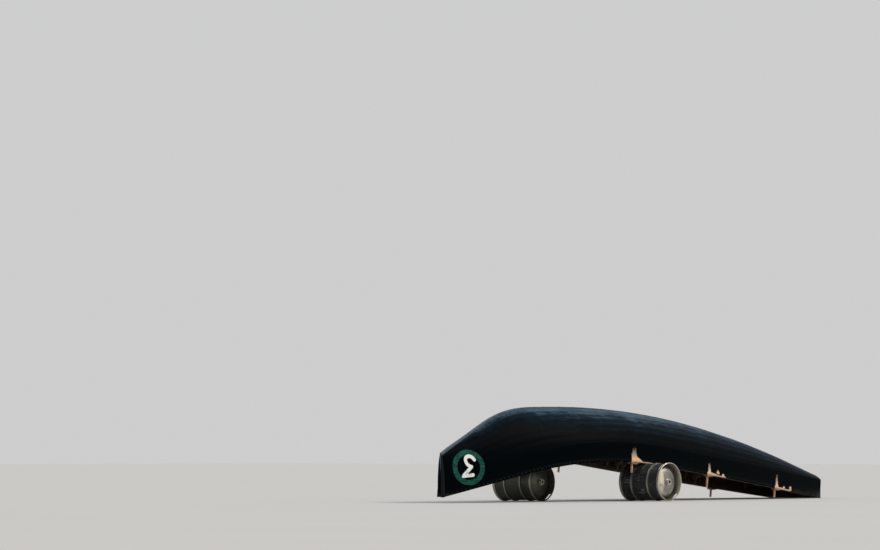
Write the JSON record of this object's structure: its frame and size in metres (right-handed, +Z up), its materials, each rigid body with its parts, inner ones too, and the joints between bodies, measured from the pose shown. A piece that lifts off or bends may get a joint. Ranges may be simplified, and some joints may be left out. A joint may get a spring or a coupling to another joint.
{
  "type": "canvas currach, upturned on two kegs",
  "caption": "Open canvas-skinned rowing currach with a lath and rib frame, thwarts and thole pins, stored keel up with its gunwales on two steel kegs.",
  "frame": {"origin": "on the floor, under the middle of the whole", "axes": "+Z up, X along the boat with the bow towards -X, -Y on the boat's starboard side as it lies keel up"},
  "size_m": [6.246, 1.442, 1.001],
  "materials": {
    "tarred_canvas": "tarred, semi-gloss",
    "frame_wood": "oiled softwood",
    "rail_wood": "weathered softwood",
    "rubbing_wood": "tarred over",
    "pin_wood": "bare hardwood",
    "keg_steel": "brushed, dull",
    "valve_steel": "worn"
  },
  "bodies": {
    "root": {"stern_canvas_starboard": "tarred_canvas", "stern_canvas_port": "tarred_canvas", "aft_canvas_starboard": "tarred_canvas", "aft_canvas_port": "tarred_canvas", "middle_canvas_starboard": "tarred_canvas", "middle_canvas_port": "tarred_canvas", "forward_canvas_starboard": "tarred_canvas", "forward_canvas_port": "tarred_canvas", "bow_canvas_starboard": "tarred_canvas", "bow_canvas_port": "tarred_canvas", "keel_strip": "rubbing_wood", "stem_band": "rubbing_wood", "stem_post": "frame_wood", "transom": "frame_wood", "gunwale_starboard": "rail_wood", "gunwale_port": "rail_wood", "inwale_starboard": "rail_wood", "inwale_port": "rail_wood", "laths": "frame_wood", "ribs": "frame_wood", "stanchions_starboard": "frame_wood", "stanchions_port": "frame_wood", "knees_starboard": "frame_wood", "knees_port": "frame_wood", "breasthook": "rail_wood", "quarter_knees": "rail_wood", "footrests": "frame_wood", "thole_pads_starboard": "pin_wood", "thole_pads_port": "pin_wood", "thole_pins_starboard": "pin_wood", "thole_pins_port": "pin_wood", "aft_keg": "keg_steel", "forward_keg": "keg_steel", "aft_keg_valve": "valve_steel", "forward_keg_valve": "valve_steel", "stern_thwart": "frame_wood", "aft_thwart": "frame_wood", "middle_thwart": "frame_wood", "forward_thwart": "frame_wood", "bow_thwart": "frame_wood"}
  },
  "joints": []
}
